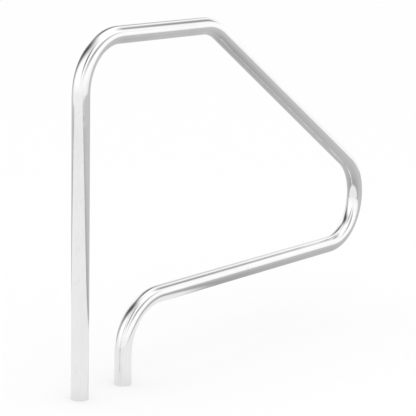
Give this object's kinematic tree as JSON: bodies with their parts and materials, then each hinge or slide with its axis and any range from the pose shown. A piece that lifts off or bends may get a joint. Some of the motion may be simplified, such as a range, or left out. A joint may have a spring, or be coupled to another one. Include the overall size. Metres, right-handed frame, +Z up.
{
  "type": "pool handrail",
  "caption": "Deck-mounted pool stair handrail bent from polished stainless tube: upright leg, level top, sloping hand run, round nose and level return to a short leg.",
  "frame": {"origin": "centre of the tall leg's cut end, where the leg stands in its deck anchor", "axes": "+Z up along the tall leg, +X from the tall leg towards the nose over the pool, Y across the flat rail, which lies in the plane Y = 0"},
  "size_m": [1.3778, 0.0482, 0.9906],
  "materials": {
    "polished_stainless": "polished",
    "insert_plastic": "satin"
  },
  "bodies": {
    "root": {"rail_tube": "polished_stainless", "tall_leg_insert": "insert_plastic", "short_leg_insert": "insert_plastic"}
  },
  "joints": []
}
